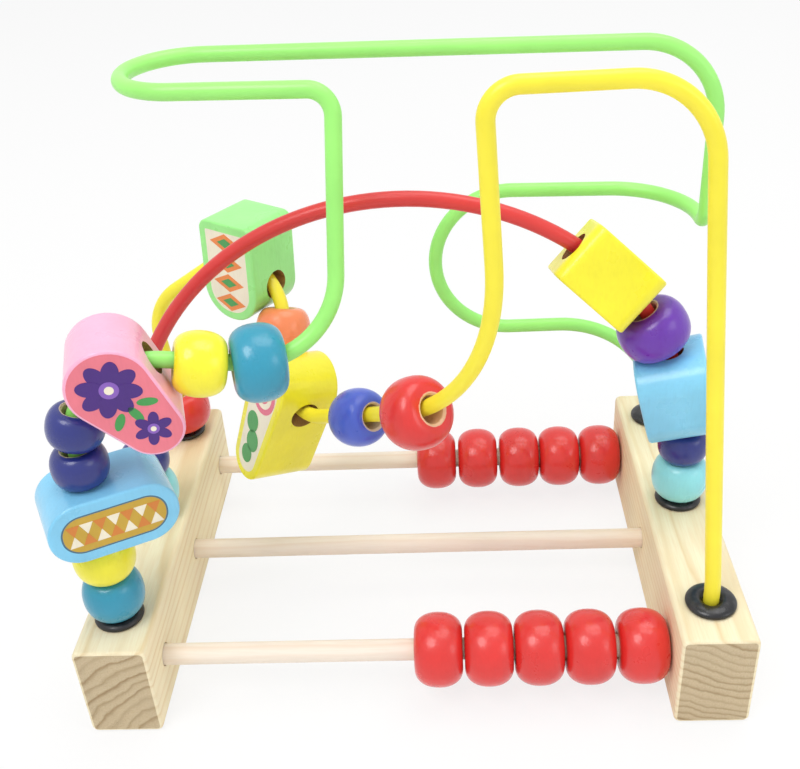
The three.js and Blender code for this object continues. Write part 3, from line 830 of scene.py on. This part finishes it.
def bead_section(diameter, length, bore, flat, fullness):
    """Points of half a bead's section, and the numbers of those that stay bare."""
    inner = bore / 2
    shoulder = inner * RIM_SHARE + flat
    bulge, half, power = diameter / 2 - shoulder, length / 2, 2 / fullness
    points = [(inner, CHAMFER - half), (inner + CHAMFER, -half)]
    for step in range(SIDE_STEPS + 1):
        angle = math.pi * (step / SIDE_STEPS - 0.5)
        rise = math.copysign(abs(math.sin(angle)) ** power, angle)
        points.append((shoulder + bulge * max(0, math.cos(angle)) ** power, half * rise))
    points += [(inner + CHAMFER, half), (inner, half - CHAMFER)]
    return points, (0, 1, len(points) - 2, len(points) - 1)


def turn_bead(node, kind, paint, point, heading):
    points, bare = bead_section(**BEADS[kind])
    place = Matrix.Translation(point) @ heading.to_track_quat("Z", "Y").to_matrix().to_4x4()
    turned = spin_profile(points, bare)
    finish_piece(node + "_turned", turned, [paints[paint]], node, paint, place)

# %% Abacus rows
ABACUS_GAPS = {"front": (0.4, 1.0, 0.5, 0.4, 0.5), "back": (0.4, 0.5, 0.4, 0.9, 0.9)}
ABACUS_DROP = 0.2
abacus_length = BEADS["abacus"]["length"]
for row_name, gaps in ABACUS_GAPS.items():
    edge_x = INNER_FACE
    for count, gap in enumerate(gaps, start=1):
        edge_x -= gap + abacus_length
        middle = Vector((edge_x + abacus_length / 2, ROWS[row_name], DOWEL_HEIGHT - ABACUS_DROP))
        node = f"{row_name}_abacus_bead_{count}"
        turn_bead(node, "abacus", "paint_red", middle, Vector((1, 0, 0)))
print("Abacus rows end at x =", round(edge_x, 1), "mm")

# %% [markdown]
# The loose beads are listed with their wire and their place along it. Places come from stacks and
# bends, never from a ruler, so a bead would follow its wire if a corner were moved. A bend is
# counted from its wire's first leg.

# %% Places along the wires
OBLONG_TALL, PEAR_TALL, DROP_TALL = 17.5, 20.5, 19.5
SHIELD_TALL, PILLOW_TALL, BRICK_TALL = 20.0, 25.5, 24.5
PEAR_BEND, SWEEP_BEND, DROP_BEND, HUMP_BEND = 0, 3, 4, 5
PEAR_SHIFT, SHIELD_SHIFT, SWEEP_SHIFT = 6, 4, -7.5
VALLEY_BALL_GAP, VALLEY_DRUM_GAP = 4.4, 1.3
SWEEP_BALL_GAP, HUMP_BALL_GAP, BRICK_GAP = 11, 7.3, 1.2

ball, small, drum = (BEADS[kind]["length"] for kind in ("ball", "small", "drum"))
right_stack = stack(red_route, [ball, small, PILLOW_TALL, drum, BRICK_TALL])
left_stack = stack(red_route, [ball, small], from_end=True)
front_stack = stack(green_route, [ball, ball, OBLONG_TALL, small, small])
pear_place = along_bend(green_route, PEAR_BEND, 0.5, PEAR_SHIFT)
valley_ball = pear_place + (PEAR_TALL + ball) / 2 + VALLEY_BALL_GAP
valley_drum = valley_ball + (ball + drum) / 2 + VALLEY_DRUM_GAP
sweep_drum = along_bend(yellow_route, SWEEP_BEND, 1.0, SWEEP_SHIFT)
sweep_ball = sweep_drum + (drum + ball) / 2 + SWEEP_BALL_GAP
drop_place = along_bend(yellow_route, DROP_BEND, 0.5)
shield_place = along_bend(yellow_route, HUMP_BEND, 0.5, SHIELD_SHIFT)
hump_ball = shield_place - (SHIELD_TALL + ball) / 2 - HUMP_BALL_GAP
back_drum = stack(yellow_route, [drum], from_end=True)[0]
print("The pear hangs", round(pear_place), "mm along its wire")

# %% Threaded beads
THREADED = [
    ("right_cyan_ball", "ball", "paint_pale_cyan", red_route, right_stack[0]),
    ("right_navy_ball", "small", "paint_navy", red_route, right_stack[1]),
    ("violet_bead", "drum", "paint_violet", red_route, right_stack[3]),
    ("left_cyan_ball", "ball", "paint_pale_cyan", red_route, left_stack[0]),
    ("left_navy_ball", "small", "paint_navy", red_route, left_stack[1]),
    ("front_blue_ball", "ball", "paint_blue", green_route, front_stack[0]),
    ("front_yellow_ball", "ball", "paint_yellow", green_route, front_stack[1]),
    ("front_lower_navy_ball", "small", "paint_navy", green_route, front_stack[3]),
    ("front_upper_navy_ball", "small", "paint_navy", green_route, front_stack[4]),
    ("valley_yellow_ball", "ball", "paint_yellow", green_route, valley_ball),
    ("valley_blue_bead", "drum", "paint_blue", green_route, valley_drum),
    ("sweep_red_bead", "drum", "paint_red", yellow_route, sweep_drum),
    ("sweep_indigo_ball", "ball", "paint_indigo", yellow_route, sweep_ball),
    ("hump_orange_ball", "ball", "paint_orange", yellow_route, hump_ball),
    ("back_red_bead", "drum", "paint_red", yellow_route, back_drum),
]
for node, kind, paint, route, distance in THREADED:
    point, heading = seat(route, distance, BEADS[kind]["length"], BEADS[kind]["bore"])
    turn_bead(node, kind, paint, point, heading)
print(len(THREADED), "beads threaded on three wires")

# %% [markdown]
# ## Blocks
#
# The blocks are sawn from a board: an outline with some thickness, eased edges and a hole drilled
# across. Rounded oblongs start from a cube whose upright edges are bevelled by the corner radius.
# The two tapered blocks have a large and a small round end, so their outline is drawn by spinning
# one point round each end and closing the loop.

# %% Block outlines
CORNER_STEPS, END_STEPS = 14, 26


def oblong_outline(bm, thick, wide, tall, corners):
    bmesh.ops.create_cube(bm, size=1, matrix=Matrix.Diagonal((wide, tall, thick, 1)))
    for side, corner in zip((-1, 1), corners):
        posts = [edge for edge in bm.edges
                 if along_axis(edge, 2) and abs(edge.verts[0].co.x - side * wide / 2) < NEAR]
        round_edges(bm, posts, corner, CORNER_STEPS)


def tapered_outline(bm, thick, wide, tall, tip):
    large, small_end = tall / 2, tip / 2
    reach = wide - large - small_end
    slope = math.asin((large - small_end) / reach)
    heel = Vector((large - wide / 2, 0, -thick / 2))
    toe = heel + Vector((reach, 0, 0))
    upper = Vector((math.sin(slope), math.cos(slope), 0))
    ends = []
    for centre, arm, angle in (
        (heel, upper * large, math.pi + 2 * slope),
        (toe, Vector((upper.x, -upper.y, 0)) * small_end, math.pi - 2 * slope),
    ):
        start = bm.verts.new(centre + arm)
        made = bmesh.ops.spin(
            bm, geom=[start], cent=centre, axis=(0, 0, 1), angle=angle, steps=END_STEPS)
        ends.append((start, made["geom_last"][0]))
    bm.edges.new((ends[0][1], ends[1][0]))
    bm.edges.new((ends[1][1], ends[0][0]))
    cap = bmesh.ops.contextual_create(bm, geom=bm.edges[:])["faces"]
    made = bmesh.ops.extrude_face_region(bm, geom=cap)["geom"]
    lifted = [item for item in made if isinstance(item, bmesh.types.BMVert)]
    bmesh.ops.translate(bm, vec=(0, 0, thick), verts=lifted)

# %% [markdown]
# The rims are eased, and the printed face is inset in rings, which give the print its border. A cut
# close under each rim and the "bare" mark lighten the paint towards bare wood at the edge and nowhere
# else: a painted highlight along the rims.

# %% Eased rims and inset rings
EASE, EASE_STEPS = 0.7, 4
# The rim mark, the band it stays in and how far it reaches: a lighter rim that is a painted
# highlight.
RIM_MARK_BAND, RIM_HIGHLIGHT_MARK, RIM_MARK_SHARE = 1.2, 0.2, 0.9
PLAIN_RING = (1.0, None)
CUT_NEAR = 1e-5


def cap_of(bm, height):
    level = [face for face in bm.faces if abs(face.calc_center_median().z - height) < NEAR]
    return [max(level, key=lambda face: face.calc_area())]


def ease_and_ring(bm, thick, rings):
    """Rounds the rims and insets the printed face by (distance, material) rings."""
    mark = bm.verts.layers.float.new("bare")
    for height in (-thick / 2, thick / 2):
        round_edges(bm, cap_of(bm, height)[0].edges[:], EASE, EASE_STEPS)
    for height in (EASE + RIM_MARK_BAND - thick / 2, thick / 2 - EASE - RIM_MARK_BAND):
        geom = bm.verts[:] + bm.edges[:] + bm.faces[:]
        bmesh.ops.bisect_plane(
            bm, geom=geom, dist=CUT_NEAR, plane_co=(0, 0, height), plane_no=(0, 0, 1))
    # Rim vertices get the mark for the lighter edge, a painted highlight; the printed faces are
    # cleared below.
    for vert in bm.verts:
        at_rim = abs(vert.co.z) > thick / 2 - RIM_MARK_SHARE * EASE
        vert[mark] = RIM_HIGHLIGHT_MARK if at_rim else 0.0
    for height, sizes in ((-thick / 2, [PLAIN_RING]), (thick / 2, rings)):
        cap = cap_of(bm, height)
        for distance, material in sizes:
            bmesh.ops.inset_region(bm, faces=cap, thickness=distance, use_even_offset=True)
            for vert in cap[0].verts:
                vert[mark] = 0.0
            if material is not None:
                cap[0].material_index = material

# %% [markdown]
# Each block's own axes are taken from its wire: the bore follows the wire, and the printed face
# turns about it to look the way it does on the toy. The middle of an outline may lie beside the
# bore and lean about it. After drilling, the faces that lie on the bore get raw wood in a dark
# tone, a painted shade for the inside of the hole.

# %% Sawing a block
BLOCK_BORE_RADIUS, BLOCK_REACH = 4.4, 1.12
BIT_LENGTH, BIT_SIDES = 80, 48
BORE_NEAR = 0.02
BORE_FACE_CORNERS = 24
ALONG_BORE = Matrix.Rotation(math.pi / 2, 4, "X")


def block_place(route, distance, tall, facing):
    point, heading = seat(route, distance, BLOCK_REACH * tall, 2 * BLOCK_BORE_RADIUS)
    face = flatten(Vector(facing), heading).normalized()
    turn = Matrix((heading.cross(face), heading, face)).transposed()
    return Matrix.Translation(point) @ turn.to_4x4()


def off_bore(offset, lean):
    return Matrix.Rotation(math.radians(lean), 4, "Z") @ Matrix.Translation((offset, 0, 0))


def saw_block(node, paint, bm, place, finishes):
    block = finish_piece(
        node + "_sawn", bm, [paints[paint], darkened_bore_wood, *finishes], node, paint, place)
    bits = bmesh.new()
    add_cylinder(bits, BLOCK_BORE_RADIUS, BIT_LENGTH, BIT_SIDES, SITE @ place @ ALONG_BORE)
    drill(block, bits)
    to_block = (SITE @ place).inverted()
    spots = [to_block @ vert.co for vert in block.data.vertices]
    in_bore = [abs(math.hypot(spot.x, spot.z) - BLOCK_BORE_RADIUS) < BORE_NEAR for spot in spots]
    # Faces on the bore take the darkened bore wood, a painted shade.
    for face in block.data.polygons:
        small_face = len(face.vertices) < BORE_FACE_CORNERS
        if small_face and all(in_bore[index] for index in face.vertices):
            face.material_index = 1
    level_normals(block)

# %% [markdown]
# The six blocks then differ only in their values. A ring's number is the finish it takes: 0 is the
# paint, 1 the bore wood darkened with painted shade, and 2 and 3 are the block's own inks.

# %% Block values
THICKNESS, BRICK_THICKNESS = 19.5, 17.5
BORDER = (0.9, None)
PANEL = (1.0, 2)
BLOCKS = {
    "sky_blue_oblong_block": {
        "paint": "paint_sky_blue", "wire": (green_route, front_stack[2]),
        "facing": (0.463, -0.886, 0), "offset": 4, "outline": oblong_outline,
        "size": {"wide": 33, "tall": OBLONG_TALL, "corners": (8.45, 8.45)},
        "rings": [BORDER, (1.5, 2), (0.45, 3)], "inks": ["slate", "gold"]},
    "pink_pear_block": {
        "paint": "paint_pink", "wire": (green_route, pear_place),
        "facing": (-0.11, -0.98, -0.16), "offset": 3.5, "lean": 11, "outline": tapered_outline,
        "size": {"wide": 33, "tall": PEAR_TALL, "tip": 15},
        "rings": [(0.01, 2), (0.9, 2)], "inks": ["coral"]},
    "yellow_drop_block": {
        "paint": "paint_yellow", "wire": (yellow_route, drop_place),
        "facing": (-0.765, -0.59, 0.26), "offset": 10, "lean": 195, "outline": tapered_outline,
        "size": {"wide": 43, "tall": DROP_TALL, "tip": 15},
        "rings": [BORDER, PANEL], "inks": ["cream"]},
    "green_shield_block": {
        "paint": "paint_leaf_green", "wire": (yellow_route, shield_place),
        "facing": (-0.75, -0.65, 0.1), "offset": 3, "lean": 12, "outline": oblong_outline,
        "size": {"wide": 31, "tall": SHIELD_TALL, "corners": (9.7, 3)},
        "rings": [BORDER, PANEL], "inks": ["cream"]},
    "sky_blue_pillow_block": {
        "paint": "paint_sky_blue", "wire": (red_route, right_stack[2]),
        "facing": (-0.98, 0.12, 0), "outline": oblong_outline,
        "size": {"wide": 24, "tall": PILLOW_TALL, "corners": (8, 8)},
        "rings": [BORDER, PANEL], "inks": ["maroon"]},
    "yellow_brick_block": {
        "paint": "paint_yellow", "wire": (red_route, right_stack[4] + BRICK_GAP),
        "facing": (-0.675, -0.235, -0.699), "lean": 10, "outline": oblong_outline,
        "thick": BRICK_THICKNESS,
        "size": {"wide": 18, "tall": BRICK_TALL, "corners": (3.5, 3.5)},
        "rings": [PLAIN_RING], "inks": []},
}

# %% Blocks on their wires
printed_face = {}
for node, block in BLOCKS.items():
    thick = block.get("thick", THICKNESS)
    place = block_place(*block["wire"], block["size"]["tall"], block["facing"])
    inside = off_bore(block.get("offset", 0), block.get("lean", 0))
    bm = bmesh.new()
    block["outline"](bm, thick, **block["size"])
    ease_and_ring(bm, thick, block["rings"])
    bmesh.ops.transform(bm, matrix=inside, verts=bm.verts)
    saw_block(node, block["paint"], bm, place, [inks[ink] for ink in block["inks"]])
    printed_face[node] = place @ inside @ Matrix.Translation((0, 0, thick / 2))
print(len(BLOCKS), "blocks sawn and drilled")

# %% [markdown]
# ## Prints
#
# The faces carry small prints in thick, satin ink. A picture could be projected on them, but ink
# this thick has an edge that catches the light, so each motif is a thin plate: discs, petals,
# leaves, flags and diamonds, all from the cone operator with a different number of sides. The
# designs are plain: rosettes, a row of zigzag flags, rings with leaf discs, and diamonds.

# %% Ink plates
INK_DEPTH, LAYER_DEPTH, INK_SUNK = 0.1, 0.05, 0.04
DISC_SIDES, FLAG_SIDES, DIAMOND_SIDES = 36, 3, 4
PETAL_PLACE, PETAL_LENGTH, PETAL_WIDTH = 0.58, 0.9, 0.56
HEART_SHARE, DOT_SHARE = 0.62, 0.3


def ink_plate(bm, x, y, wide, tall, sides=DISC_SIDES, turn=0.0, layer=0, ink=0):
    """One thin prism of ink. Layers lie on each other."""
    depth = INK_DEPTH + LAYER_DEPTH * layer
    matrix = (
        Matrix.Translation((x, y, depth / 2 - INK_SUNK))
        @ Matrix.Rotation(math.radians(turn), 4, "Z")
        @ Matrix.Diagonal((wide / 2, tall / 2, depth, 1)))
    corners = add_cylinder(bm, 1, 1, sides, matrix)
    for face in {face for vert in corners for face in vert.link_faces}:
        face.material_index = ink


def rosette(bm, x, y, reach, petals, inks_used, turn=0.0):
    petal_ink, heart_ink, dot_ink = inks_used
    for petal in range(petals):
        angle = 2 * math.pi * petal / petals + math.radians(turn)
        petal_x = x + reach * PETAL_PLACE * math.cos(angle)
        petal_y = y + reach * PETAL_PLACE * math.sin(angle)
        ink_plate(
            bm, petal_x, petal_y, reach * PETAL_LENGTH, reach * PETAL_WIDTH,
            turn=math.degrees(angle), layer=petal % 2, ink=petal_ink)
    ink_plate(bm, x, y, reach * HEART_SHARE, reach * HEART_SHARE, layer=2, ink=heart_ink)
    ink_plate(bm, x, y, reach * DOT_SHARE, reach * DOT_SHARE, layer=3, ink=dot_ink)


def lay_print(name, bm, ink_names, node):
    finish_piece(
        name, bm, [inks[ink] for ink in ink_names], node, None, printed_face[node],
        stands_for=False)

# %% [markdown]
# Each print is drawn about the middle of its face, in millimetres, with X along the block. Its inks
# are numbered in the order in which they are named when the print is laid.

# %% Prints with rosettes
LEAF_WIDE, LEAF_TALL = 5.0, 2.2

pear_print = bmesh.new()
rosette(pear_print, -6.2, 0, 7.4, 8, (0, 1, 2))
rosette(pear_print, 8.6, 0.2, 4.6, 6, (0, 1, 2), turn=20)
for x, y, turn in ((2.0, 4.2, 55), (2.0, -4.2, -55), (2.8, 0, 0)):
    ink_plate(pear_print, x, y, LEAF_WIDE, LEAF_TALL, turn=turn, ink=3)
lay_print("pear_print", pear_print, ("plum", "lilac", "cream", "leaf"), "pink_pear_block")
print("Rosettes on the pear")

# %% Print with zigzag flags
FLAGS, FLAG_PITCH, FLAG_RISE = 7, 3.4, 2.1
FLAG_WIDE, FLAG_TALL = 3.9, 4.4

oblong_print = bmesh.new()
for count in range(FLAGS):
    x = FLAG_PITCH * (count - FLAGS // 2)
    for y, turn, ink in ((FLAG_RISE, 180, count % 2), (-FLAG_RISE, 0, (count + 1) % 2)):
        ink_plate(oblong_print, x, y, FLAG_WIDE, FLAG_TALL, FLAG_SIDES, turn, ink=ink)
lay_print("oblong_print", oblong_print, ("amber", "cream"), "sky_blue_oblong_block")
print(2 * FLAGS, "flags on the oblong")

# %% Print with rings and leaf discs
RINGS_PLACE = (-10.0, 0.4)
LEAF_DISC_SHARE = 0.9

drop_print = bmesh.new()
for layer, (size, ink) in enumerate(((12.5, 0), (9.0, 1), (5.6, 0))):
    ink_plate(drop_print, *RINGS_PLACE, size, size, layer=layer, ink=ink)
for x, y, size in ((1.6, -1.6, 7.0), (7.4, 0.8, 7.2), (13.0, -0.4, 6.2)):
    ink_plate(drop_print, x, y, size, size * LEAF_DISC_SHARE, layer=1, ink=2)
lay_print("drop_print", drop_print, ("rose", "cream", "leaf"), "yellow_drop_block")
print("Rings on the drop")

# %% Prints with diamonds and with one rosette
DIAMONDS, DIAMOND_PITCH = 4, 6.4
DIAMOND_SIZES = ((5.9, 11.5), (3.0, 6.0))

shield_print = bmesh.new()
for count in range(DIAMONDS):
    x = DIAMOND_PITCH * (count - (DIAMONDS - 1) / 2)
    for layer, (wide, tall) in enumerate(DIAMOND_SIZES):
        ink_plate(shield_print, x, 0, wide, tall, DIAMOND_SIDES, layer=layer, ink=layer)
lay_print("shield_print", shield_print, ("tangerine", "leaf"), "green_shield_block")

pillow_print = bmesh.new()
rosette(pillow_print, 0, 0, 8.0, 10, (0, 1, 0))
lay_print("pillow_print", pillow_print, ("cream", "gold"), "sky_blue_pillow_block")
print(DIAMONDS, "diamonds on the shield and a rosette on the pillow")

# %% [markdown]
# ## Studio
#
# The toy stands on a wide pale floor under large soft lamps. The world gives plain fill light. To
# the camera, the floor and the world are almost white whatever light reaches them, by the Light
# Path node, but a share of the floor's own shading stays, so the toy keeps its soft shadow.

# %% Floor
FLOOR_DROP = -0.0004
FLOOR_SIZE = 6.0
FLOOR_TONE = 0.9
SEEN_WHITE = 0.8
WHITE = grey(1)


def seen_directly(tree):
    path = tree.nodes.new("ShaderNodeLightPath").outputs
    either = calculate(tree, "MAXIMUM", path["Is Camera Ray"], path["Is Glossy Ray"])
    return calculate(tree, "MAXIMUM", either, path["Is Transmission Ray"])


floor_mesh = bpy.data.meshes.new("floor")
sheet = bmesh.new()
bmesh.ops.create_grid(
    sheet, x_segments=1, y_segments=1, size=FLOOR_SIZE / 2,
    matrix=Matrix.Translation((0, 0, FLOOR_DROP)))
sheet.to_mesh(floor_mesh)
sheet.free()
floor = bpy.data.objects.new("floor", floor_mesh)
scene.collection.objects.link(floor)
floor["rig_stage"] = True
paper, tree, surface, _ = start_material("floor_paper")
surface.inputs["Base Color"].default_value = grey(FLOOR_TONE)
surface.inputs["Roughness"].default_value = 0.9
surface.inputs["Specular IOR Level"].default_value = 0.1
glow = add_node(tree, "Emission", {"Color": WHITE, "Strength": 1.0})
share = calculate(tree, "MULTIPLY", seen_directly(tree), SEEN_WHITE)
mixed = add_node(tree, "MixShader", {0: share, 1: surface.outputs[0], 2: glow.outputs[0]})
tree.links.new(mixed.outputs[0], tree.nodes["Material Output"].inputs["Surface"])
floor_mesh.materials.append(paper)
print("Floor is", FLOOR_SIZE, "m wide")

# %% World and lamps
WORLD_FILL = 0.62
LAMP_TARGET = Vector((0, 0, 0.08))
LAMPS = [
    ("key_lamp", (-0.35, -0.45, 0.95), 0.55, 4.2),
    ("top_lamp", (0.25, 0.15, 1.1), 0.8, 4.0),
    ("side_lamp", (0.9, -0.5, 0.5), 0.5, 1.2),
]

world = bpy.data.worlds.new("studio")
world.use_nodes = True
scene.world = world
tree = world.node_tree
background = tree.nodes["Background"]
background.inputs["Color"].default_value = WHITE
level = remap(tree, seen_directly(tree), (0.0, 1.0), (WORLD_FILL, 1.0))
tree.links.new(level, background.inputs["Strength"])
for name, place, size, power in LAMPS:
    light = bpy.data.lights.new(name, "AREA")
    light.shape = "DISK"
    light.size = size
    light.energy = power
    lamp = bpy.data.objects.new(name, light)
    scene.collection.objects.link(lamp)
    lamp.location = place
    lamp.rotation_euler = (LAMP_TARGET - Vector(place)).to_track_quat("-Z", "Y").to_euler()
print(len(LAMPS), "lamps")

# %% [markdown]
# ## Sizes
#
# The dressed toy has to fill the same box as the imported one. Each new piece is compared with the
# solid that it stands for, and the largest difference is printed.

# %% Compare the boxes
LOW_CORNER, HIGH_CORNER = 0, 6


def misfit(piece):
    low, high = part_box(piece["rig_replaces"][0])
    corners = [*piece.bound_box[LOW_CORNER], *piece.bound_box[HIGH_CORNER]]
    return max(abs(mine - packed) for mine, packed in zip(corners, [*low, *high]))


worst = max((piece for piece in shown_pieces() if "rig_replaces" in piece), key=misfit)
print("Largest difference from a packed solid:", worst.name, in_mm([misfit(worst)], 2)[0], "mm")
